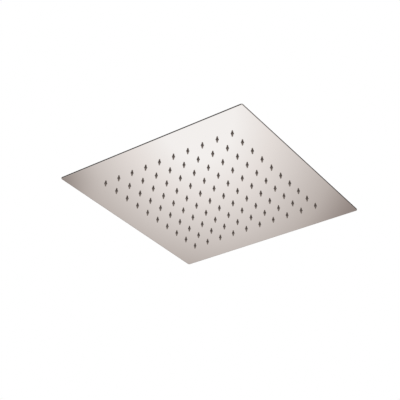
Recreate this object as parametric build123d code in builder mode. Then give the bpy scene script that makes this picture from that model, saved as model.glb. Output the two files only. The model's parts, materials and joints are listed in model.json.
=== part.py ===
from build123d import *
from math import acos, atan, cos, degrees, pi, radians, sin, sqrt, tan
import os

# Ultra-thin square rain shower head, in millimetres, +Z up.
# Two steel sheets welded round their rim hold the water, a silicone nozzle sits in every hole of the face,
# and a ball joint on the back carries the head on a shower arm.
# The origin is the centre of the mouth of the inlet thread, and the face looks down.

os.makedirs("parts", exist_ok=True)

# Face sheet and its square field of nozzles
plate_side = 300.0
corner_radius = 2.0
face_sheet = 1.0
edge_break = 0.2
edge_margin = 44.0
nozzles_per_side = 10

# Silicone nozzles: a taper through the sheet, held from inside by an arrow head.
# There are a hundred of them, so they are modelled many-sided and not round.
nozzle_reach = 4.8
nozzle_base_d = 3.7
nozzle_tip_d = 1.5
nozzle_bore_d = 0.9
nozzle_fit = 0.05
nozzle_head_overlap = 0.9
nozzle_head_height = 2.4
nozzle_sides = 8

# Pressed back sheet, raised into a tray over the nozzle field
back_sheet = 1.0
chamber_height = 5.0
tray_margin = 12.0
tray_corner_radius = 16.0
tray_draft = 45.0
bend_radius = 1.5

# Boss welded to the tray, with the pocket that takes the ball
boss_waterway_d = 12.0
boss_spigot_wall = 3.5
boss_spigot_fit = 0.05
boss_floor = 3.0
boss_wall = 3.2
boss_rim_drop = 0.5
boss_flange_width = 8.0
boss_flange_thickness = 2.5
pocket_room = 0.4
pocket_floor_room = 0.5

# Ball joint: how far it tilts about X and about Y, and its running fits
ball_d = 22.0
tilt_limit = 10.0
ball_clearance = 0.1
ring_thickness = 1.4
ring_end_room = 2.0
ring_band_angle = 18.0
ring_split = 1.5
seal_fit = 0.1
seal_lip = 0.5
seal_rim = 1.3
seal_contact_angle = 42.0

# Collar nut that holds the ball in the boss
collar_wall = 2.4
collar_lip = 2.0
collar_flange_gap = 0.8
collar_lead_in = 0.6
thread_play = 0.1
hex_chamfer = 1.2
hex_chamfer_angle = 30.0

# Ball connector: neck, waterway and the G 1/2 socket for the arm
neck_d = 13.0
neck_clearance = 0.5
neck_flare = 1.0
waterway_d = 9.0
thread_d = 20.955
thread_length = 12.0
thread_lead_in = 0.4
relief_depth = 0.3
relief_height = 3.0
socket_wall = 1.75
socket_floor = 2.5
swing_gap = 0.8

# Filter in the socket: a rubber washer with a steel screen let into it
washer_room = 1.5
washer_inset = 0.8
washer_thickness = 2.2
screen_rebate = 1.4
screen_thickness = 0.5
screen_fit = 0.05
screen_bar = 0.6
screen_openings_per_side = 5

# Nozzle sizes that follow from the field and the sheet
nozzle_field = plate_side - 2 * edge_margin
nozzle_pitch = nozzle_field / (nozzles_per_side - 1)
nozzle_neck_d = nozzle_base_d + (nozzle_base_d - nozzle_tip_d) * face_sheet / nozzle_reach
nozzle_hole_d = nozzle_neck_d + 2 * nozzle_fit
nozzle_head_d = nozzle_hole_d + 2 * nozzle_head_overlap

# Ball joint sizes, from the ball outwards
swing = acos(cos(radians(tilt_limit)) ** 2)
ball_r = ball_d / 2
neck_r = neck_d / 2
ring_inner_r = ball_r + ball_clearance
ring_outer_r = ring_inner_r + ring_thickness
ring_low_angle = tilt_limit + ring_end_room
ring_high_angle = ring_low_angle + ring_band_angle
seat_angle = radians(ring_low_angle + ring_band_angle / 2)
seat_r = ring_outer_r + ball_clearance

# The seat of the collar nut is a cone that touches the ring's sphere at seat_angle.
# Its mouth is as high up that cone as the tilted neck leaves room for.
neck_reach = neck_r / cos(swing) + neck_clearance
cone_top_height = seat_r / sin(seat_angle)
mouth_r = ((cone_top_height + collar_lip) * tan(swing) + neck_reach) / (1 + tan(swing) / tan(seat_angle))
mouth_height = (seat_r - mouth_r * cos(seat_angle)) / sin(seat_angle)
collar_height = mouth_height + collar_lip
seat_foot_r = (seat_r + boss_rim_drop * sin(seat_angle)) / cos(seat_angle)
pocket_r = ball_r + pocket_room
boss_thread_r = pocket_r + boss_wall
collar_thread_r = boss_thread_r + thread_play
collar_across_flats = 2 * (collar_thread_r + collar_wall)
collar_corner_r = collar_across_flats / 2 / cos(radians(30))

# Connector sizes
thread_r = thread_d / 2
relief_r = thread_r + relief_depth
socket_across_flats = 2 * (relief_r + socket_wall)
socket_corner_r = socket_across_flats / 2 / cos(radians(30))
socket_height = thread_length + relief_height + socket_floor
stem_length = (collar_height + swing_gap + socket_corner_r * sin(swing)) / cos(swing)

# Heights, from the mouth of the inlet downwards
washer_seat_z = -thread_length - relief_height
socket_bottom_z = -socket_height
ball_z = socket_bottom_z - stem_length
collar_top_z = ball_z + collar_height
boss_rim_z = ball_z - boss_rim_drop
pocket_floor_z = ball_z - ball_r - pocket_floor_room
tray_top_z = pocket_floor_z - boss_floor
boss_flange_top_z = tray_top_z + boss_flange_thickness
collar_bottom_z = boss_flange_top_z + collar_flange_gap
chamber_top_z = tray_top_z - back_sheet
face_top_z = chamber_top_z - chamber_height
face_bottom_z = face_top_z - face_sheet
flange_top_z = face_top_z + back_sheet
nozzle_tip_z = face_bottom_z - nozzle_reach


def closed_profile(*points):
    """A closed outline of (radius, height) points, to be turned about the Z axis."""
    with BuildSketch(Plane.XZ) as profile:
        with BuildLine():
            Polyline(*points, close=True)
        make_face()
    return profile.sketch


def turned_corners(corner_r, bottom_z, top_z):
    """The outline that turns the upper corners off a hexagon bar."""
    chamfer_r = corner_r - hex_chamfer / tan(radians(hex_chamfer_angle))
    return closed_profile(
        (0, bottom_z), (corner_r, bottom_z), (corner_r, top_z - hex_chamfer), (chamfer_r, top_z), (0, top_z)
    )


# Face plate: mirror-polished sheet with a hole for every nozzle
with BuildPart() as face_plate:
    with BuildSketch(Plane.XY.offset(face_bottom_z)):
        RectangleRounded(plate_side, plate_side, corner_radius)
        with GridLocations(nozzle_pitch, nozzle_pitch, nozzles_per_side, nozzles_per_side):
            RegularPolygon(nozzle_hole_d / 2, nozzle_sides, mode=Mode.SUBTRACT)
    extrude(amount=face_sheet)
    chamfer(face_plate.faces().sort_by(Axis.Z)[0].outer_wire().edges(), edge_break)
face_plate.part.label = "face_plate"
export_step(face_plate.part, "parts/face_plate.step")

# Back plate: sheet of even thickness pressed up into a tray with leaning walls, its flange on the face plate
wall_step = back_sheet / cos(radians(tray_draft)) - back_sheet * tan(radians(tray_draft))
tray_side = nozzle_field + 2 * tray_margin
spigot_r = boss_waterway_d / 2 + boss_spigot_wall
with BuildPart() as back_plate:
    with BuildSketch(Plane.XY.offset(face_top_z)):
        RectangleRounded(plate_side, plate_side, corner_radius)
    extrude(amount=back_sheet)
    with BuildSketch(Plane.XY.offset(flange_top_z)):
        RectangleRounded(tray_side, tray_side, tray_corner_radius)
    extrude(amount=chamber_height, taper=tray_draft)
    flange_face = back_plate.faces().filter_by_position(Axis.Z, flange_top_z, flange_top_z)[0]
    chamfer(flange_face.outer_wire().edges(), edge_break)
    flange_face = back_plate.faces().filter_by_position(Axis.Z, flange_top_z, flange_top_z)[0]
    fillet(flange_face.inner_wires()[0].edges(), bend_radius)
    fillet(back_plate.faces().sort_by(Axis.Z)[-1].edges(), bend_radius + back_sheet)
    with BuildSketch(Plane.XY.offset(face_top_z)):
        RectangleRounded(tray_side - 2 * wall_step, tray_side - 2 * wall_step, tray_corner_radius - wall_step)
    extrude(amount=chamber_height, taper=tray_draft, mode=Mode.SUBTRACT)
    with BuildSketch(Plane.XY.offset(chamber_top_z)):
        Circle(spigot_r + boss_spigot_fit)
    extrude(amount=back_sheet, mode=Mode.SUBTRACT)
back_plate.part.label = "back_plate"
export_step(back_plate.part, "parts/back_plate.step")

# One nozzle on the Z axis: the taper stands through the sheet, and the arrow head rests on the sheet's inside
taper_length = nozzle_reach + face_sheet
taper_angle = degrees(atan((nozzle_neck_d - nozzle_tip_d) / 2 * cos(pi / nozzle_sides) / taper_length))
head_drop = (nozzle_head_d - nozzle_bore_d / 2) / 2
head_angle = degrees(atan(head_drop * cos(pi / nozzle_sides) / nozzle_head_height))
with BuildPart() as nozzle:
    with BuildSketch(Plane.XY.offset(nozzle_tip_z)):
        RegularPolygon(nozzle_neck_d / 2, nozzle_sides)
    extrude(amount=taper_length)
    draft(nozzle.faces().filter_by(Axis.Z, reverse=True), Plane.XY.offset(face_top_z), -taper_angle)
    with BuildSketch(Plane.XY.offset(face_top_z)):
        RegularPolygon(nozzle_head_d / 2, nozzle_sides)
    extrude(amount=nozzle_head_height)
    head_top_z = face_top_z + nozzle_head_height
    all_sides = nozzle.faces().filter_by(Axis.Z, reverse=True)
    head_sides = all_sides.filter_by_position(Axis.Z, face_top_z, head_top_z)
    draft(head_sides, Plane.XY.offset(face_top_z), head_angle)
    with BuildSketch(Plane.XY.offset(nozzle_tip_z)):
        RegularPolygon(nozzle_bore_d / 2, nozzle_sides)
    extrude(amount=taper_length + nozzle_head_height, mode=Mode.SUBTRACT)

# Rows of nozzles along X, the first row at the -Y edge
for row in range(nozzles_per_side):
    row_y = (row - (nozzles_per_side - 1) / 2) * nozzle_pitch
    row_name = f"nozzle_row_{row + 1:02d}"
    with BuildPart() as nozzle_row:
        with Locations((0, row_y)):
            with GridLocations(nozzle_pitch, nozzle_pitch, nozzles_per_side, 1):
                add(nozzle.part)
    nozzle_row.part.label = row_name
    export_step(nozzle_row.part, f"parts/{row_name}.step")

# Inlet boss: turned, with a spigot through the back plate, a flange on it and the pocket for seal and ball
flange_r = boss_thread_r + boss_flange_width
with BuildPart() as inlet_boss:
    boss_profile = closed_profile(
        (boss_waterway_d / 2, chamber_top_z),
        (spigot_r, chamber_top_z),
        (spigot_r, tray_top_z),
        (flange_r, tray_top_z),
        (flange_r - boss_flange_thickness, boss_flange_top_z),
        (boss_thread_r, boss_flange_top_z),
        (boss_thread_r, boss_rim_z),
        (pocket_r, boss_rim_z),
        (pocket_r, pocket_floor_z),
        (boss_waterway_d / 2, pocket_floor_z),
    )
    revolve(boss_profile, axis=Axis.Z)
inlet_boss.part.label = "inlet_boss"
export_step(inlet_boss.part, "parts/inlet_boss.step")

# Cup seal: rubber ring on the pocket floor, its lip a cone that touches the ball at the contact angle
contact = radians(seal_contact_angle)
seal_inner_r = boss_waterway_d / 2 + seal_lip
seal_outer_r = pocket_r - seal_fit
lip_high_r = seal_outer_r - seal_rim
lip_low_z = ball_z - (ring_inner_r - seal_inner_r * cos(contact)) / sin(contact)
seal_top_z = ball_z - (ring_inner_r - lip_high_r * cos(contact)) / sin(contact)
with BuildPart() as cup_seal:
    seal_profile = closed_profile(
        (seal_inner_r, pocket_floor_z),
        (seal_outer_r, pocket_floor_z),
        (seal_outer_r, seal_top_z),
        (lip_high_r, seal_top_z),
        (seal_inner_r, lip_low_z),
    )
    revolve(seal_profile, axis=Axis.Z)
cup_seal.part.label = "cup_seal"
export_step(cup_seal.part, "parts/cup_seal.step")

# Friction ring: split plastic band, round like the ball outside, its inside a cone that touches the ball
ring_end_r = ring_inner_r / cos(radians(ring_band_angle / 2))
with BuildPart() as friction_ring:
    with BuildSketch(Plane.XZ):
        with BuildLine():
            outside = CenterArc((0, ball_z), ring_outer_r, ring_low_angle, ring_band_angle)
            low = PolarLine((0, ball_z), ring_end_r, ring_low_angle, mode=Mode.PRIVATE)
            high = PolarLine((0, ball_z), ring_end_r, ring_high_angle, mode=Mode.PRIVATE)
            Polyline(outside @ 1, high @ 1, low @ 1, outside @ 0)
        make_face()
    revolve(axis=Axis.Z)
    with BuildSketch(Plane.XY.offset(ball_z)):
        Rectangle(seat_r, ring_split, align=(Align.MIN, Align.CENTER))
    extrude(amount=ball_r, mode=Mode.SUBTRACT)
friction_ring.part.label = "friction_ring"
export_step(friction_ring.part, "parts/friction_ring.step")

# Collar nut: hexagon, threaded below, with a cone seat for the ring and an open mouth for the neck above
with BuildPart() as collar_nut:
    with BuildSketch(Plane.XY.offset(collar_bottom_z)):
        RegularPolygon(collar_across_flats / 2, 6, major_radius=False)
    extrude(amount=collar_top_z - collar_bottom_z)
    revolve(turned_corners(collar_corner_r, collar_bottom_z, collar_top_z), axis=Axis.Z, mode=Mode.INTERSECT)
    collar_bore = closed_profile(
        (0, collar_bottom_z),
        (collar_thread_r + collar_lead_in, collar_bottom_z),
        (collar_thread_r, collar_bottom_z + collar_lead_in),
        (collar_thread_r, boss_rim_z),
        (seat_foot_r, boss_rim_z),
        (mouth_r, ball_z + mouth_height),
        (mouth_r, collar_top_z),
        (0, collar_top_z),
    )
    revolve(collar_bore, axis=Axis.Z, mode=Mode.SUBTRACT)
collar_nut.part.label = "collar_nut"
export_step(collar_nut.part, "parts/collar_nut.step")

# Ball connector: ball and neck turned in one with the hexagon that holds the G 1/2 socket
neck_angle = degrees(acos(neck_r / ball_r))
with BuildPart() as ball_connector:
    with BuildSketch(Plane.XY.offset(socket_bottom_z)):
        RegularPolygon(socket_across_flats / 2, 6, major_radius=False)
    extrude(amount=socket_height)
    revolve(turned_corners(socket_corner_r, socket_bottom_z, 0), axis=Axis.Z, mode=Mode.INTERSECT)
    with BuildSketch(Plane.XZ):
        with BuildLine():
            ball_arc = CenterArc((0, ball_z), ball_r, -90, 90 + neck_angle)
            Polyline(
                ball_arc @ 1,
                (neck_r, socket_bottom_z - neck_flare),
                (neck_r + neck_flare, socket_bottom_z),
                (0, socket_bottom_z),
                ball_arc @ 0,
            )
        make_face()
    revolve(axis=Axis.Z)
    socket_bore = closed_profile(
        (0, ball_z - ball_r),
        (waterway_d / 2, ball_z - ball_r),
        (waterway_d / 2, washer_seat_z),
        (relief_r, washer_seat_z),
        (relief_r, -thread_length),
        (thread_r, -thread_length),
        (thread_r, -thread_lead_in),
        (thread_r + thread_lead_in, 0),
        (0, 0),
    )
    revolve(socket_bore, axis=Axis.Z, mode=Mode.SUBTRACT)
ball_connector.part.label = "ball_connector"
export_step(ball_connector.part, "parts/ball_connector.step")

# Filter washer: rubber ring on the floor of the socket, with a rebate for the screen
washer_bore_r = waterway_d / 2 + washer_inset
rebate_r = washer_bore_r + screen_rebate
screen_seat_z = washer_seat_z + washer_thickness - screen_thickness
with BuildPart() as filter_washer:
    with BuildSketch(Plane.XY.offset(washer_seat_z)):
        Circle(relief_r - washer_room)
        Circle(washer_bore_r, mode=Mode.SUBTRACT)
    extrude(amount=washer_thickness)
    with BuildSketch(Plane.XY.offset(screen_seat_z)):
        Circle(rebate_r)
    extrude(amount=screen_thickness, mode=Mode.SUBTRACT)
filter_washer.part.label = "filter_washer"
export_step(filter_washer.part, "parts/filter_washer.step")

# Filter screen: steel disc in the rebate, its square openings inside the bore of the washer
screen_field = sqrt(2) * washer_bore_r
screen_opening = (screen_field + screen_bar) / screen_openings_per_side - screen_bar
screen_pitch = screen_opening + screen_bar
with BuildPart() as filter_screen:
    with BuildSketch(Plane.XY.offset(screen_seat_z)):
        Circle(rebate_r - screen_fit)
        with GridLocations(screen_pitch, screen_pitch, screen_openings_per_side, screen_openings_per_side):
            Rectangle(screen_opening, screen_opening, mode=Mode.SUBTRACT)
    extrude(amount=screen_thickness)
filter_screen.part.label = "filter_screen"
export_step(filter_screen.part, "parts/filter_screen.step")
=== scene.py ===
import json
from math import acos, cos, pi, radians, sin, tan

import bmesh
import bpy
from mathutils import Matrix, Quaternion, Vector


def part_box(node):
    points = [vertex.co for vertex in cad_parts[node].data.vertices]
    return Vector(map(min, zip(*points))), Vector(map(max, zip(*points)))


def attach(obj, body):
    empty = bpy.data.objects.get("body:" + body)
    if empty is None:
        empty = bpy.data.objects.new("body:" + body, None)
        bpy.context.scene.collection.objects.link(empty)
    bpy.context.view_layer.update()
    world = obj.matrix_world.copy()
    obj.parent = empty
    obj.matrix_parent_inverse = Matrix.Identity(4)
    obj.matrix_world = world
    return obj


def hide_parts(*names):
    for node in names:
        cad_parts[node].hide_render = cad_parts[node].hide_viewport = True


# A thin square rain shower head, seen from below: mirror-polished steel with a field of silicone nozzles
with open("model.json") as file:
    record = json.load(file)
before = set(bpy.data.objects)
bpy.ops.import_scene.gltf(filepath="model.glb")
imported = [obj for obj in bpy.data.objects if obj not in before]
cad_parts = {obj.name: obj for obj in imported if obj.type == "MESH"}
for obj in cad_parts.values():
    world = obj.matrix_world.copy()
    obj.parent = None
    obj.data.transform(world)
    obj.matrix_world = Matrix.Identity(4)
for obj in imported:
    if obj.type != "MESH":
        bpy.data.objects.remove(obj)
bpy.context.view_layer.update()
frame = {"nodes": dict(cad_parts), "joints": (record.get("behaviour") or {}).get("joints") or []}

MM = 0.001
scene = bpy.context.scene

# Levels, outlines and spacings that the frame gives, in metres
plate_low, plate_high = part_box("face_plate")
back_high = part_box("back_plate")[1]
boss_low, boss_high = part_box("inlet_boss")
collar_low, collar_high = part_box("collar_nut")
connector_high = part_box("ball_connector")[1]
washer_low, washer_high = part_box("filter_washer")
screen_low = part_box("filter_screen")[0]
rows = sorted(name for name in frame["nodes"] if name.startswith("nozzle_row"))
row_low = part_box(rows[0])[0]
ball_z = frame["joints"][0]["pos_m"][2]
face_bottom = plate_low.z
face_top = plate_high.z
plate_half = plate_high.x
per_side = len(rows)
nozzle_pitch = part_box(rows[1])[0].y - row_low.y
field_start = -(per_side - 1) / 2 * nozzle_pitch

# Sheets
SHEET = 1.0 * MM
PLATE_CORNER = 2.0 * MM
EDGE_BREAK = 0.2 * MM
RIM_WIDTH = 1.0 * MM
HOLE_BREAK = 0.1 * MM
TRAY_HALF = 118.0 * MM
TRAY_CORNER = 16.0 * MM
WALL_ANGLE = radians(45)
FOOT_BEND = 1.5 * MM
TOP_BEND = 2.5 * MM
SPIGOT_HOLE_R = 9.55 * MM

# Nozzles and the holes that they stand in
NOZZLE_TIP_R = 0.75 * MM
NOZZLE_BASE_R = 1.85 * MM
NOZZLE_NECK_R = 2.07 * MM
NOZZLE_HEAD_R = 3.02 * MM
NOZZLE_BORE_R = 0.45 * MM
NOZZLE_HOLE_R = 2.13 * MM
NOZZLE_EDGE = 0.15 * MM

# Boss and collar nut
BOSS_WATERWAY_R = 6.0 * MM
BOSS_SPIGOT_R = 9.5 * MM
BOSS_BARREL_R = 14.6 * MM
BOSS_POCKET_R = 11.4 * MM
BOSS_FLANGE = 2.5 * MM
BOSS_FLOOR = 3.0 * MM
COLLAR_BORE_R = 14.7 * MM
COLLAR_LEAD_IN = 0.6 * MM
COLLAR_SEAT_R = 13.69 * MM
COLLAR_MOUTH_R = 10.0 * MM
COLLAR_LIP = 2.0 * MM
HEX_SIDES = 6
HEX_HALF_TURN = pi / HEX_SIDES
HEX_CHAMFER = 1.2 * MM
HEX_CHAMFER_ANGLE = radians(30)
MACHINED_EDGE = 0.15 * MM

# Ball connector, its socket thread and the filter in it
BALL_R = 11.0 * MM
NECK_R = 6.5 * MM
NECK_FLARE = 1.0 * MM
WATERWAY_R = 4.5 * MM
SOCKET_FLOOR = 2.5 * MM
SOCKET_RELIEF_R = 10.7775 * MM
SOCKET_THREAD_R = 10.4775 * MM
THREAD_LENGTH = 12.0 * MM
THREAD_LEAD_IN = 0.4 * MM
THREAD_PITCH = 1.814 * MM
THREAD_CREST_R = 9.32 * MM
THREAD_CREST_FLAT = 0.3 * MM
THREAD_FLANK_ANGLE = radians(27.5)
THREAD_SINK = 0.1 * MM
WASHER_BORE_R = 5.3 * MM
WASHER_REBATE_R = 6.7 * MM
RUBBER_EDGE = 0.2 * MM

# How finely round forms are divided, what counts as an edge, and what as touching
TURN_STEPS = 96
BALL_STEPS = 24
NOZZLE_STEPS = 20
HOLE_STEPS = 32
CORNER_STEPS = 10
BEND_STEPS = 6
THREAD_STEPS = 48
EDGE_STEPS = 2
CREASE = radians(31)
TOUCH = 0.01 * MM
CUT_TOUCH = 0.00001 * MM

# Sizes of the patterns in the finishes. Real turning marks and mould grain are finer, and are drawn coarse
# enough to show close up.
HAZE_CLOUD = 45 * MM
SHEET_WAVE = 140 * MM
WAVE_HEIGHT = 1 * MM
TURNING_MARK = 0.4 * MM
TIP_DRIFT = 1.5 * MM
SILICONE_PATCH = 2.5 * MM
MOULD_GRAIN = 0.2 * MM
GRAIN_HEIGHT = 0.04 * MM
RUBBER_PATCH = 1.5 * MM
ACETAL_PATCH = 4 * MM
ETCHED_PATCH = 0.8 * MM

# Camera: its distance and bearing from the middle of the face, the bearing that its line of sight comes from,
# its roll, and its lens in millimetres
CAMERA_DISTANCE = 1.38038
CAMERA_BEARING = (35.57, -32.24)
CAMERA_AIM = (36.39, -31.92)
CAMERA_ROLL = radians(1.485)
CAMERA_LENS = 88.209

# Floor of the studio: how far it lies below the face, where it begins to turn white, and how far it reaches
FLOOR_DROP = 1.5
FLOOR_NEAR = 2.2
FLOOR_R = 6.0

# Pools of light on the floor, the lowest first: each has its middle, the radius where it ends and its tones
# by radius, in metres. The one that the face mirrors in the photo is also stretched and turned.
POOL_LIFT = 2 * MM
POOL_STRENGTH = 1.375
ROOM_POOL = {
    "middle": (0, 0),
    "end_r": 6.0,
    "tones": ((0.7, "#ffffff"), (2.5, "#efebe8"), (3.8, "#a8a19c"), (5.0, "#8d8680")),
}
FACE_POOL = {
    "middle": (-1.105, 1.431),
    "end_r": 2.1,
    "tones": (
        (0.143, "#ffffff"),
        (0.285, "#f0ecea"),
        (0.571, "#c2bbb7"),
        (0.66, "#a79e9a"),
        (0.71, "#988e8a"),
        (0.78, "#8c817d"),
        (0.9, "#867b77"),
    ),
    "stretch": 2.08,
    "turn": radians(121.2),
}
CORNER_SHADE = {
    "middle": (-1.945, 1.373),
    "end_r": 0.335,
    "tones": ((0.0, "#837975"),),
}
NEAR_POOL = {
    "middle": (0, 0),
    "end_r": 1.7,
    "tones": ((0.1, "#ffffff"), (0.45, "#e8e4e1"), (0.95, "#d0cbc7")),
}

# Walls of the studio, a glowing dome seen only in the metal: a painted reflection, with tones by elevation in
# degrees. It has darker tones, painted shade, both ways along a bearing: in full within one angle of it, at
# the level that the plate's near sides mirror, and none beyond another.
DOME_R = 2.6
DOME_STEPS = 24
DOME_FOOT = -24
DOME_TONES = ((-8, "#f4f2f0"), (8, "#eae8e6"), (34, "#b2afad"), (64, "#ffffff"), (90, "#e6e4e2"))
DOME_DARK_TONES = (
    (-8, "#a6a4a2"),
    (8, "#7a7876"),
    (30, "#444241"),
    (38, "#5a5857"),
    (64, "#ffffff"),
    (90, "#e6e4e2"),
)
DOME_DARK_BEARING = (-36, 4)
DOME_DARK_LEVEL = radians(32)
DOME_DARK_WITHIN = radians(14)
DOME_DARK_BEYOND = radians(42)

# The room's own light, and the lamps, with their places in degrees and metres and their sizes in metres
ROOM_LIGHT = 0.65
KEY_LAMP = {"azimuth": -110, "elevation": 50, "distance": 2.2, "size": 1.6, "watts": 18}
FILL_LAMP = {"azimuth": 60, "elevation": 30, "distance": 2.4, "size": 1.8, "watts": 10}


def linear(colour):
    """An sRGB hex colour as linear red, green, blue and alpha."""
    shares = [int(colour[i:i + 2], 16) / 255 for i in (1, 3, 5)]
    return [s / 12.92 if s <= 0.04045 else ((s + 0.055) / 1.055) ** 2.4 for s in shares] + [1.0]


def add_node(tree, kind, inputs=None, stops=(), **settings):
    """Adds a node with its settings and a ramp's stops, and fills its inputs with values or links."""
    made = tree.nodes.new(kind)
    for name, value in settings.items():
        setattr(made, name, value)
    if stops:
        made.color_ramp.elements.remove(made.color_ramp.elements[1])
        made.color_ramp.elements[0].position = stops[0][0]
        made.color_ramp.elements[0].color = linear(stops[0][1])
    for position, colour in stops[1:]:
        made.color_ramp.elements.new(position).color = linear(colour)
    for name, value in (inputs or {}).items():
        if isinstance(value, bpy.types.NodeSocket):
            tree.links.new(value, made.inputs[name])
        else:
            made.inputs[name].default_value = value
    return made


def new_material(name):
    """A material with its node tree, its shader's inputs and the piece's own coordinates."""
    material = bpy.data.materials.new(name)
    material.use_nodes = True
    tree = material.node_tree
    place = add_node(tree, "ShaderNodeTexCoord").outputs["Object"]
    return material, tree, tree.nodes["Principled BSDF"].inputs, place


def mirror_polished_steel():
    """Stainless sheet buffed to a mirror: warm bright metal, faintly hazy in clouds and barely wavy."""
    material, tree, surface, place = new_material("mirror_polished_steel")
    haze = add_node(tree, "ShaderNodeTexNoise", {"Vector": place, "Scale": 1 / HAZE_CLOUD, "Detail": 3.0})
    gloss = add_node(
        tree,
        "ShaderNodeMapRange",
        {"Value": haze.outputs["Fac"], "From Min": 0.3, "From Max": 0.7, "To Min": 0.01, "To Max": 0.035},
    )
    waves = add_node(tree, "ShaderNodeTexNoise", {"Vector": place, "Scale": 1 / SHEET_WAVE, "Detail": 1.0})
    bump = add_node(
        tree, "ShaderNodeBump", {"Height": waves.outputs["Fac"], "Strength": 0.05, "Distance": WAVE_HEIGHT}
    )
    surface["Base Color"].default_value = linear("#d2cfcd")
    surface["Metallic"].default_value = 1.0
    tree.links.new(gloss.outputs["Result"], surface["Roughness"])
    tree.links.new(bump.outputs["Normal"], surface["Normal"])
    return material


def bright_chrome():
    """Turned brass under bright chrome: a cooler mirror than the sheet, with faint turning marks."""
    material, tree, surface, place = new_material("bright_chrome_on_brass")
    flat = add_node(tree, "ShaderNodeMapping", {"Vector": place, "Scale": (0.02, 0.02, 1.0)})
    marks = add_node(
        tree,
        "ShaderNodeTexNoise",
        {"Vector": flat.outputs["Vector"], "Scale": 1 / TURNING_MARK, "Detail": 2.0},
    )
    gloss = add_node(
        tree,
        "ShaderNodeMapRange",
        {"Value": marks.outputs["Fac"], "From Min": 0.3, "From Max": 0.7, "To Min": 0.03, "To Max": 0.08},
    )
    surface["Base Color"].default_value = linear("#cbcdd0")
    surface["Metallic"].default_value = 1.0
    tree.links.new(gloss.outputs["Result"], surface["Roughness"])
    return material


def two_tone(name, dark, light, patch, roughness, ior):
    """A moulded material whose colour drifts between two tones in patches of one size."""
    material, tree, surface, place = new_material(name)
    drift = add_node(tree, "ShaderNodeTexNoise", {"Vector": place, "Scale": 1 / patch, "Detail": 2.0})
    colour = add_node(
        tree, "ShaderNodeValToRGB", {"Fac": drift.outputs["Fac"]}, stops=((0.3, dark), (0.7, light))
    )
    tree.links.new(colour.outputs["Color"], surface["Base Color"])
    surface["Roughness"].default_value = roughness
    surface["IOR"].default_value = ior
    return material


def grey_silicone():
    """Moulded silicone: warm grey and satin, paler towards the tips and darker towards the face, with a fine
    grain from the mould.
    """
    material, tree, surface, place = new_material("moulded_grey_silicone")
    height = add_node(tree, "ShaderNodeSeparateXYZ", {"Vector": place})
    drift = add_node(
        tree, "ShaderNodeTexNoise", {"Vector": place, "Scale": 1 / SILICONE_PATCH, "Detail": 2.0}
    )
    uneven = add_node(
        tree,
        "ShaderNodeMath",
        {0: drift.outputs["Fac"], 1: TIP_DRIFT, 2: height.outputs["Z"]},
        operation="MULTIPLY_ADD",
    )
    from_tip = add_node(
        tree,
        "ShaderNodeMapRange",
        {"Value": uneven.outputs["Value"], "From Min": row_low.z + TIP_DRIFT / 2, "From Max": face_bottom},
    )
    colour = add_node(
        tree,
        "ShaderNodeValToRGB",
        {"Fac": from_tip.outputs["Result"]},
        stops=((0.0, "#9e948d"), (1.0, "#625854")),
    )
    tree.links.new(colour.outputs["Color"], surface["Base Color"])
    surface["Roughness"].default_value = 0.42
    surface["IOR"].default_value = 1.41
    grain = add_node(tree, "ShaderNodeTexNoise", {"Vector": place, "Scale": 1 / MOULD_GRAIN, "Detail": 2.0})
    bump = add_node(
        tree, "ShaderNodeBump", {"Height": grain.outputs["Fac"], "Strength": 0.25, "Distance": GRAIN_HEIGHT}
    )
    tree.links.new(bump.outputs["Normal"], surface["Normal"])
    return material


def black_rubber():
    """Moulded nitrile rubber: nearly black and matt, a little dusty."""
    return two_tone("moulded_nitrile_rubber", "#171717", "#282726", RUBBER_PATCH, roughness=0.65, ior=1.52)


def natural_acetal():
    """Moulded acetal: milky white plastic with a satin skin."""
    return two_tone("natural_acetal", "#e4e2da", "#f0eee8", ACETAL_PATCH, roughness=0.4, ior=1.48)


def screen_steel():
    """Pierced stainless sheet: bright grey, satin from etching."""
    material, tree, surface, place = new_material("etched_stainless_sheet")
    drift = add_node(tree, "ShaderNodeTexNoise", {"Vector": place, "Scale": 1 / ETCHED_PATCH, "Detail": 2.0})
    gloss = add_node(
        tree, "ShaderNodeMapRange", {"Value": drift.outputs["Fac"], "To Min": 0.2, "To Max": 0.4}
    )
    surface["Base Color"].default_value = linear("#c9c6c2")
    surface["Metallic"].default_value = 1.0
    tree.links.new(gloss.outputs["Result"], surface["Roughness"])
    return material


def arc(centre_r, centre_z, radius, start, end, steps):
    """Points along an arc of an outline, as (radius, height)."""
    turns = [start + (end - start) * i / steps for i in range(steps + 1)]
    return [(centre_r + radius * cos(turn), centre_z + radius * sin(turn)) for turn in turns]


def draw_outline(outline, closed=True):
    """Draws an outline of (radius, height) points in the X-Z plane, ready to be spun."""
    bm = bmesh.new()
    corners = [bm.verts.new((radius, 0.0, height)) for radius, height in outline]
    ends = corners[1:] + corners[:1] if closed else corners[1:]
    for corner, end in zip(corners, ends):
        bm.edges.new((corner, end))
    return bm


def turn_outline(outline, steps, closed=True):
    """Spins an outline of (radius, height) points once round the Z axis."""
    bm = draw_outline(outline, closed)
    bmesh.ops.spin(
        bm,
        geom=bm.verts[:] + bm.edges[:],
        cent=(0, 0, 0),
        axis=(0, 0, 1),
        angle=2 * pi,
        steps=steps,
        use_merge=True,
    )
    bmesh.ops.recalc_face_normals(bm, faces=bm.faces)
    return bm


def repeat(bm, step, count):
    """Repeats all that is there, count times in all, each copy a step further."""
    bmesh.ops.spin(
        bm,
        geom=bm.verts[:] + bm.edges[:] + bm.faces[:],
        cent=(0, 0, 0),
        axis=(0, 0, 1),
        dvec=step,
        angle=0,
        steps=count - 1,
        use_duplicate=True,
    )


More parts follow.
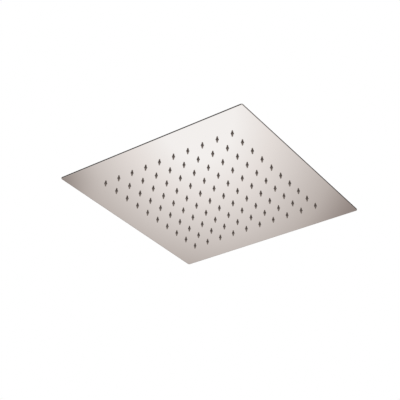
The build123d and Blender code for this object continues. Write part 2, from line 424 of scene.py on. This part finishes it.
def cut_flats(bm, corner_r):
    """Cuts the flats of a hexagon, one corner towards X, on a turned bar."""
    for side in range(HEX_SIDES):
        turn = (2 * side + 1) * HEX_HALF_TURN
        outwards = Vector((cos(turn), sin(turn), 0))
        cut = bmesh.ops.bisect_plane(
            bm,
            geom=bm.verts[:] + bm.edges[:] + bm.faces[:],
            dist=CUT_TOUCH,
            plane_co=outwards * (corner_r * cos(HEX_HALF_TURN)),
            plane_no=outwards,
            clear_outer=True,
        )
        rim = [part for part in cut["geom_cut"] if isinstance(part, bmesh.types.BMEdge)]
        bmesh.ops.edgeloop_fill(bm, edges=rim)
    bmesh.ops.recalc_face_normals(bm, faces=bm.faces)


def rounded_square(bm, half, corner, height):
    """Adds a flat square face with round corners."""
    already = set(bm.faces)
    made = bmesh.ops.create_grid(bm, x_segments=1, y_segments=1, size=half)
    bmesh.ops.translate(bm, verts=made["verts"], vec=(0, 0, height))
    bmesh.ops.bevel(
        bm,
        geom=made["verts"],
        offset=corner,
        affect="VERTICES",
        segments=CORNER_STEPS,
        profile=0.5,
        material=-1,
    )
    return next(face for face in bm.faces if face not in already)


def plate_rim(bm, height):
    """Adds a narrow flat rim along the plate's outline and returns its inner edges."""
    square = rounded_square(bm, plate_half, PLATE_CORNER, height)
    bmesh.ops.inset_region(bm, faces=[square], thickness=RIM_WIDTH, use_boundary=True, use_even_offset=True)
    return open_face(bm, square)


def open_face(bm, face):
    """Takes a face away and returns the edges round it."""
    edges = face.edges[:]
    bmesh.ops.delete(bm, geom=[face], context="FACES_ONLY")
    return edges


def sharp_edges(bm, height):
    """The sharp edges at one height."""
    level = [e for e in bm.edges if all(abs(v.co.z - height) < TOUCH for v in e.verts)]
    return [e for e in level if e.is_manifold and e.calc_face_angle() > CREASE]


def break_edges(bm, edges, width):
    """Rounds edges off a little."""
    bmesh.ops.bevel(
        bm, geom=edges, offset=width, affect="EDGES", segments=EDGE_STEPS, profile=0.5, material=-1
    )


def reach(edge):
    """How far out from the middle an edge lies, along X or Y."""
    return max(abs(place) for corner in edge.verts for place in corner.co.xy)


def add_piece(name, bm, material, body, stands_for=None, edge=0.0):
    """Makes a piece of a mesh: its finish, its broken edges, its body and the node that it stands for."""
    mesh = bpy.data.meshes.new(name)
    bm.to_mesh(mesh)
    bm.free()
    mesh.shade_smooth()
    mesh.set_sharp_from_angle(angle=CREASE)
    mesh.materials.append(material)
    piece = bpy.data.objects.new(name, mesh)
    scene.collection.objects.link(piece)
    if edge:
        broken = piece.modifiers.new("broken_edges", "BEVEL")
        broken.width = edge
        broken.segments = EDGE_STEPS
        broken.limit_method = "ANGLE"
        broken.angle_limit = CREASE
    even = piece.modifiers.new("even_shading", "WEIGHTED_NORMAL")
    even.keep_sharp = True
    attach(piece, body)
    if stands_for:
        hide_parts(stands_for)


def face_plate(steel):
    """The face: a sheet with a round hole for every nozzle, its lower edges broken."""
    bm = bmesh.new()
    bmesh.ops.create_grid(bm, x_segments=1, y_segments=1, size=nozzle_pitch / 2)
    bmesh.ops.subdivide_edges(bm, edges=bm.edges[:], cuts=HOLE_STEPS // 4 - 1)
    open_face(bm, bm.faces[:][0])
    bmesh.ops.create_circle(bm, segments=HOLE_STEPS, radius=NOZZLE_HOLE_R)
    bmesh.ops.bridge_loops(bm, edges=bm.edges[:])
    bmesh.ops.translate(bm, verts=bm.verts[:], vec=(field_start, field_start, face_bottom))
    repeat(bm, (nozzle_pitch, 0, 0), per_side)
    repeat(bm, (0, nozzle_pitch, 0), per_side)
    bmesh.ops.remove_doubles(bm, verts=bm.verts[:], dist=TOUCH)

    field_edge = per_side / 2 * nozzle_pitch
    margin = [e for e in bm.edges if e.is_boundary and reach(e) > field_edge - TOUCH]
    bmesh.ops.triangle_fill(bm, edges=margin + plate_rim(bm, face_bottom), use_beauty=True)

    upper = bmesh.ops.extrude_face_region(bm, geom=bm.faces[:], use_keep_orig=True)["geom"]
    raised = [part for part in upper if isinstance(part, bmesh.types.BMVert)]
    bmesh.ops.translate(bm, verts=raised, vec=(0, 0, SHEET))
    bmesh.ops.recalc_face_normals(bm, faces=bm.faces)
    break_edges(bm, [e for e in sharp_edges(bm, face_bottom) if reach(e) > field_edge], EDGE_BREAK)
    break_edges(bm, [e for e in sharp_edges(bm, face_bottom) if reach(e) < field_edge], HOLE_BREAK)
    add_piece("polished_face", bm, steel, "head", "face_plate")


def back_plate(steel):
    """The back: a sheet pressed up into a tray with round bends, its flange on the face, and a round hole."""
    flange_top = face_top + SHEET
    rise = back_high.z - flange_top
    foot_tangent = FOOT_BEND * tan(WALL_ANGLE / 2)
    top_tangent = TOP_BEND * tan(WALL_ANGLE / 2)
    top_run = rise / tan(WALL_ANGLE) + top_tangent
    foot_bend = arc(-foot_tangent, FOOT_BEND, FOOT_BEND, -pi / 2, WALL_ANGLE - pi / 2, BEND_STEPS)
    top_bend = arc(top_run, rise - TOP_BEND, TOP_BEND, pi / 2 + WALL_ANGLE, pi / 2, BEND_STEPS)
    press_line = foot_bend + top_bend

    bm = bmesh.new()
    top = rounded_square(bm, TRAY_HALF + foot_tangent, TRAY_CORNER + foot_tangent, flange_top)
    for (run, height), (next_run, next_height) in zip(press_line, press_line[1:]):
        bmesh.ops.inset_region(
            bm,
            faces=[top],
            thickness=next_run - run,
            depth=next_height - height,
            use_boundary=True,
            use_even_offset=True,
        )
    foot = [e for e in bm.edges if e.is_boundary]
    bmesh.ops.triangle_fill(bm, edges=foot + plate_rim(bm, flange_top), use_beauty=True)
    hole = bmesh.ops.create_circle(bm, segments=TURN_STEPS, radius=SPIGOT_HOLE_R)["verts"]
    bmesh.ops.translate(bm, verts=hole, vec=(0, 0, back_high.z))
    hole_rim = [e for e in bm.edges if e.is_wire]
    bmesh.ops.triangle_fill(bm, edges=hole_rim + open_face(bm, top), use_beauty=True)
    bmesh.ops.recalc_face_normals(bm, faces=bm.faces)
    if bm.faces[:][0].normal.z < 0:
        bmesh.ops.reverse_faces(bm, faces=bm.faces[:])
    bmesh.ops.solidify(bm, geom=bm.faces[:], thickness=SHEET)
    bmesh.ops.recalc_face_normals(bm, faces=bm.faces)
    break_edges(bm, sharp_edges(bm, flange_top), EDGE_BREAK)
    add_piece("pressed_back", bm, steel, "head", "back_plate")


def inlet_boss(steel):
    """The boss: spigot, flange, barrel and pocket, turned in one."""
    flange_top = back_high.z + BOSS_FLANGE
    pocket_floor = back_high.z + BOSS_FLOOR
    bm = turn_outline(
        [
            (BOSS_WATERWAY_R, boss_low.z),
            (BOSS_SPIGOT_R, boss_low.z),
            (BOSS_SPIGOT_R, back_high.z),
            (boss_high.x, back_high.z),
            (boss_high.x - BOSS_FLANGE, flange_top),
            (BOSS_BARREL_R, flange_top),
            (BOSS_BARREL_R, boss_high.z),
            (BOSS_POCKET_R, boss_high.z),
            (BOSS_POCKET_R, pocket_floor),
            (BOSS_WATERWAY_R, pocket_floor),
        ],
        TURN_STEPS,
    )
    add_piece("turned_boss", bm, steel, "head", "inlet_boss", MACHINED_EDGE)


def collar_nut(chrome):
    """The collar: a hexagon nut with its upper corners turned off, a cone seat inside and an open mouth."""
    corner_r = collar_high.x
    chamfer_r = corner_r - HEX_CHAMFER / tan(HEX_CHAMFER_ANGLE)
    bm = turn_outline(
        [
            (COLLAR_BORE_R + COLLAR_LEAD_IN, collar_low.z),
            (corner_r, collar_low.z),
            (corner_r, collar_high.z - HEX_CHAMFER),
            (chamfer_r, collar_high.z),
            (COLLAR_MOUTH_R, collar_high.z),
            (COLLAR_MOUTH_R, collar_high.z - COLLAR_LIP),
            (COLLAR_SEAT_R, boss_high.z),
            (COLLAR_BORE_R, boss_high.z),
            (COLLAR_BORE_R, collar_low.z + COLLAR_LEAD_IN),
        ],
        TURN_STEPS,
    )
    cut_flats(bm, corner_r)
    add_piece("collar_hexagon", bm, chrome, "head", "collar_nut", MACHINED_EDGE)


def ball_connector(chrome):
    """The connector: ball, neck and hexagon in one, with the waterway and the socket bored through it."""
    corner_r = connector_high.x
    chamfer_r = corner_r - HEX_CHAMFER / tan(HEX_CHAMFER_ANGLE)
    mouth = connector_high.z
    seat = washer_low.z
    hexagon_low = seat - SOCKET_FLOOR
    ball = arc(0, ball_z, BALL_R, -acos(WATERWAY_R / BALL_R), acos(NECK_R / BALL_R), BALL_STEPS)
    neck_and_hexagon = [
        (NECK_R, hexagon_low - NECK_FLARE),
        (NECK_R + NECK_FLARE, hexagon_low),
        (corner_r, hexagon_low),
        (corner_r, mouth - HEX_CHAMFER),
        (chamfer_r, mouth),
    ]
    socket = [
        (SOCKET_THREAD_R + THREAD_LEAD_IN, mouth),
        (SOCKET_THREAD_R, mouth - THREAD_LEAD_IN),
        (SOCKET_THREAD_R, mouth - THREAD_LENGTH),
        (SOCKET_RELIEF_R, mouth - THREAD_LENGTH),
        (SOCKET_RELIEF_R, seat),
        (WATERWAY_R, seat),
    ]
    bm = turn_outline(ball + neck_and_hexagon + socket, TURN_STEPS)
    cut_flats(bm, corner_r)
    add_piece(
        "ball_and_socket", bm, chrome, "arm_connector", "ball_connector", MACHINED_EDGE
    )


def socket_thread(chrome):
    """The socket's thread: one ridge wound up the bore, with slanting flanks and a blunt crest."""
    wall_r = SOCKET_THREAD_R + THREAD_SINK
    crest = THREAD_CREST_FLAT / 2
    foot = crest + (wall_r - THREAD_CREST_R) * tan(THREAD_FLANK_ANGLE)
    first = connector_high.z - THREAD_LENGTH + foot
    turns = int((THREAD_LENGTH - THREAD_LEAD_IN - 2 * foot) / THREAD_PITCH)
    bm = draw_outline(
        [
            (wall_r, first - foot),
            (THREAD_CREST_R, first - crest),
            (THREAD_CREST_R, first + crest),
            (wall_r, first + foot),
        ]
    )
    bmesh.ops.spin(
        bm,
        geom=bm.verts[:] + bm.edges[:],
        cent=(0, 0, 0),
        axis=(0, 0, 1),
        dvec=(0, 0, THREAD_PITCH / THREAD_STEPS),
        angle=2 * pi * turns,
        steps=THREAD_STEPS * turns,
    )
    bmesh.ops.holes_fill(bm, edges=[e for e in bm.edges if e.is_boundary])
    bmesh.ops.recalc_face_normals(bm, faces=bm.faces)
    add_piece("socket_thread", bm, chrome, "arm_connector")


def filter_washer(rubber):
    """The filter's washer, with the rebate that the screen lies in."""
    bm = turn_outline(
        [
            (WASHER_BORE_R, washer_low.z),
            (washer_high.x, washer_low.z),
            (washer_high.x, washer_high.z),
            (WASHER_REBATE_R, washer_high.z),
            (WASHER_REBATE_R, screen_low.z),
            (WASHER_BORE_R, screen_low.z),
        ],
        TURN_STEPS,
    )
    add_piece(
        "moulded_washer", bm, rubber, "arm_connector", "filter_washer", RUBBER_EDGE
    )


def nozzle_row(row, silicone):
    """One row of nozzles: a taper with a blunt tip, a neck in the sheet, an arrow head and a bore."""
    low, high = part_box(rows[row])
    bm = turn_outline(
        [
            (NOZZLE_BORE_R, low.z),
            (NOZZLE_TIP_R, low.z),
            (NOZZLE_BASE_R, face_bottom),
            (NOZZLE_NECK_R, face_top),
            (NOZZLE_HEAD_R, face_top),
            (NOZZLE_BORE_R, high.z),
        ],
        NOZZLE_STEPS,
    )
    bmesh.ops.translate(bm, verts=bm.verts[:], vec=(field_start, (low.y + high.y) / 2, 0))
    repeat(bm, (nozzle_pitch, 0, 0), per_side)
    add_piece(f"nozzles_{row + 1:02d}", bm, silicone, "head", rows[row], NOZZLE_EDGE)


def finish_node(node, material):
    """Gives a solid that keeps its own shape its finish."""
    slots = frame["nodes"][node].data.materials
    slots.clear()
    slots.append(material)


def bearing(azimuth, elevation):
    """A direction from the object: azimuth 0 is towards -Y and 90 towards +X, in degrees."""
    turn, lift = radians(azimuth), radians(elevation)
    return Vector((sin(turn) * cos(lift), -cos(turn) * cos(lift), sin(lift)))


def stage_object(name, bm, material):
    """Adds an object that is part of the studio."""
    mesh = bpy.data.meshes.new(name)
    bm.to_mesh(mesh)
    bm.free()
    mesh.materials.append(material)
    made = bpy.data.objects.new(name, mesh)
    scene.collection.objects.link(made)
    return made


def show_in_reflections_only(made):
    """Hides an object of the studio from all but reflections."""
    made.visible_camera = False
    made.visible_diffuse = False
    made.visible_transmission = False
    made.visible_volume_scatter = False
    made.visible_shadow = False


def photo_camera():
    """The camera, looking up at the face as in the photo."""
    data = bpy.data.cameras.new("camera")
    data.lens = CAMERA_LENS
    camera = bpy.data.objects.new("camera", data)
    scene.collection.objects.link(camera)
    camera.location = Vector((0, 0, face_bottom)) + bearing(*CAMERA_BEARING) * CAMERA_DISTANCE
    camera.rotation_mode = "QUATERNION"
    level = (-bearing(*CAMERA_AIM)).to_track_quat("-Z", "Y")
    camera.rotation_quaternion = level @ Quaternion((0, 0, 1), CAMERA_ROLL)
    scene.camera = camera


def pale_floor():
    """A plain pale floor, well below the head, that turns to the white of the room in the distance."""
    material, tree, surface, place = new_material("pale_floor")
    surface["Base Color"].default_value = linear("#f0efed")
    surface["Roughness"].default_value = 0.9
    away = add_node(tree, "ShaderNodeVectorMath", {0: place}, operation="LENGTH")
    distant = add_node(
        tree,
        "ShaderNodeMapRange",
        {"Value": away.outputs["Value"], "From Min": FLOOR_NEAR, "From Max": FLOOR_R},
        interpolation_type="SMOOTHSTEP",
    )
    white = add_node(tree, "ShaderNodeEmission", {"Color": linear("#ffffff"), "Strength": 1.0})
    mixed = add_node(
        tree,
        "ShaderNodeMixShader",
        {
            "Fac": distant.outputs["Result"],
            1: tree.nodes["Principled BSDF"].outputs["BSDF"],
            2: white.outputs["Emission"],
        },
    )
    tree.links.new(mixed.outputs["Shader"], tree.nodes["Material Output"].inputs["Surface"])
    bm = bmesh.new()
    bmesh.ops.create_circle(bm, cap_ends=True, segments=TURN_STEPS, radius=FLOOR_R)
    bmesh.ops.translate(bm, verts=bm.verts[:], vec=(0, 0, face_bottom - FLOOR_DROP))
    stage_object("floor", bm, material)


def light_pool(name, layer, middle, end_r, tones, stretch=1.0, turn=0.0):
    """Graduated light on the floor, seen only in the metal: its tones by their radius, then a slow end."""
    place_on_floor = (*middle, face_bottom - FLOOR_DROP + layer * POOL_LIFT)
    material, tree, _, place = new_material(name)
    local = add_node(
        tree,
        "ShaderNodeMapping",
        {
            "Vector": place,
            "Location": place_on_floor,
            "Rotation": (0, 0, turn),
            "Scale": (stretch * end_r, end_r, 1),
        },
        vector_type="TEXTURE",
    )
    falloff = add_node(
        tree, "ShaderNodeTexGradient", {"Vector": local.outputs["Vector"]}, gradient_type="SPHERICAL"
    )
    stops = [(1 - radius / end_r, colour) for radius, colour in reversed(tones)]
    tone = add_node(tree, "ShaderNodeValToRGB", {"Fac": falloff.outputs["Fac"]}, stops=stops)
    fade = add_node(
        tree,
        "ShaderNodeMapRange",
        {"Value": falloff.outputs["Fac"], "From Max": stops[0][0]},
        interpolation_type="SMOOTHSTEP",
    )
    glow = add_node(tree, "ShaderNodeEmission", {"Color": tone.outputs["Color"], "Strength": POOL_STRENGTH})
    clear = add_node(tree, "ShaderNodeBsdfTransparent")
    mixed = add_node(
        tree,
        "ShaderNodeMixShader",
        {"Fac": fade.outputs["Result"], 1: clear.outputs["BSDF"], 2: glow.outputs["Emission"]},
    )
    tree.links.new(mixed.outputs["Shader"], tree.nodes["Material Output"].inputs["Surface"])
    bm = bmesh.new()
    bmesh.ops.create_grid(bm, x_segments=1, y_segments=1, size=stretch * end_r)
    bmesh.ops.translate(bm, verts=bm.verts[:], vec=place_on_floor)
    show_in_reflections_only(stage_object(name, bm, material))


def dome_glow(tree, level, tones):
    """The light of the dome, its tones set by elevation."""
    stops = [((1 + sin(radians(elevation))) / 2, colour) for elevation, colour in tones]
    shade = add_node(tree, "ShaderNodeValToRGB", {"Fac": level}, stops=stops)
    return add_node(tree, "ShaderNodeEmission", {"Color": shade.outputs["Color"]}).outputs["Emission"]


def studio_dome():
    """Glowing walls round the room, a painted reflection seen only in the metal, with painted shade where the
    plate's near sides mirror them.
    """
    material, tree, _, place = new_material("painted_reflection_walls")
    outwards = add_node(tree, "ShaderNodeVectorMath", {0: place}, operation="NORMALIZE").outputs["Vector"]
    height = add_node(tree, "ShaderNodeSeparateXYZ", {"Vector": outwards}).outputs["Z"]
    level = add_node(tree, "ShaderNodeMath", {0: height, 1: 0.5, 2: 0.5}, operation="MULTIPLY_ADD")
    # Painted shade: darker tones of the glow where the plate's near sides mirror the walls
    across = add_node(
        tree, "ShaderNodeVectorMath", {0: outwards, 1: bearing(*DOME_DARK_BEARING)}, operation="DOT_PRODUCT"
    )
    either_way = add_node(tree, "ShaderNodeMath", {0: across.outputs["Value"]}, operation="ABSOLUTE")
    near_sides = add_node(
        tree,
        "ShaderNodeMapRange",
        {
            "Value": either_way.outputs["Value"],
            "From Min": cos(DOME_DARK_LEVEL) * cos(DOME_DARK_BEYOND),
            "From Max": cos(DOME_DARK_LEVEL) * cos(DOME_DARK_WITHIN),
        },
        interpolation_type="SMOOTHSTEP",
    )
    walls = add_node(
        tree,
        "ShaderNodeMixShader",
        {
            "Fac": near_sides.outputs["Result"],
            1: dome_glow(tree, level.outputs["Value"], DOME_TONES),
            2: dome_glow(tree, level.outputs["Value"], DOME_DARK_TONES),
        },
    )
    foot = radians(DOME_FOOT)
    above_foot = add_node(
        tree,
        "ShaderNodeMapRange",
        {"Value": height, "From Min": sin(foot), "From Max": sin(radians(DOME_TONES[0][0]))},
        interpolation_type="SMOOTHSTEP",
    )
    clear = add_node(tree, "ShaderNodeBsdfTransparent")
    mixed = add_node(
        tree,
        "ShaderNodeMixShader",
        {"Fac": above_foot.outputs["Result"], 1: clear.outputs["BSDF"], 2: walls.outputs["Shader"]},
    )
    tree.links.new(mixed.outputs["Shader"], tree.nodes["Material Output"].inputs["Surface"])
    bm = turn_outline(arc(0, 0, DOME_R, foot, pi / 2, DOME_STEPS), TURN_STEPS, closed=False)
    bmesh.ops.remove_doubles(bm, verts=bm.verts[:], dist=TOUCH)
    show_in_reflections_only(stage_object("studio_dome", bm, material))


def white_room():
    """White behind the head and in its reflections, with a softer light on everything."""
    world = bpy.data.worlds.new("white_room")
    world.use_nodes = True
    scene.world = world
    tree = world.node_tree
    tree.nodes.clear()
    path = add_node(tree, "ShaderNodeLightPath").outputs
    seen = add_node(
        tree, "ShaderNodeMath", {0: path["Is Camera Ray"], 1: path["Is Glossy Ray"]}, operation="MAXIMUM"
    )
    seen = add_node(
        tree,
        "ShaderNodeMath",
        {0: seen.outputs["Value"], 1: path["Is Transmission Ray"]},
        operation="MAXIMUM",
    )
    soft = add_node(tree, "ShaderNodeBackground", {"Color": linear("#fffdfa"), "Strength": ROOM_LIGHT})
    white = add_node(tree, "ShaderNodeBackground", {"Color": linear("#ffffff"), "Strength": 1.0})
    mixed = add_node(
        tree,
        "ShaderNodeMixShader",
        {"Fac": seen.outputs["Value"], 1: soft.outputs["Background"], 2: white.outputs["Background"]},
    )
    add_node(tree, "ShaderNodeOutputWorld", {"Surface": mixed.outputs["Shader"]})


def soft_box(name, azimuth, elevation, distance, size, watts):
    """A square lamp that faces the head, and that the metal doesn't mirror."""
    data = bpy.data.lights.new(name, "AREA")
    data.shape = "SQUARE"
    data.size = size
    data.energy = watts
    lamp = bpy.data.objects.new(name, data)
    scene.collection.objects.link(lamp)
    lamp.visible_camera = False
    lamp.visible_glossy = False
    towards = bearing(azimuth, elevation)
    lamp.location = towards * distance
    lamp.rotation_mode = "QUATERNION"
    lamp.rotation_quaternion = (-towards).to_track_quat("-Z", "Y")


steel = mirror_polished_steel()
chrome = bright_chrome()
silicone = grey_silicone()
rubber = black_rubber()

face_plate(steel)
back_plate(steel)
inlet_boss(steel)
collar_nut(chrome)
ball_connector(chrome)
socket_thread(chrome)
filter_washer(rubber)
for row in range(per_side):
    nozzle_row(row, silicone)
finish_node("cup_seal", rubber)
finish_node("friction_ring", natural_acetal())
finish_node("filter_screen", screen_steel())

photo_camera()
pale_floor()
light_pool("room_pool", 1, **ROOM_POOL)
light_pool("face_pool", 2, **FACE_POOL)
light_pool("corner_shade", 3, **CORNER_SHADE)
light_pool("near_pool", 4, **NEAR_POOL)
studio_dome()
white_room()
soft_box("key_lamp", **KEY_LAMP)
soft_box("fill_lamp", **FILL_LAMP)
scene.view_settings.view_transform = "Standard"
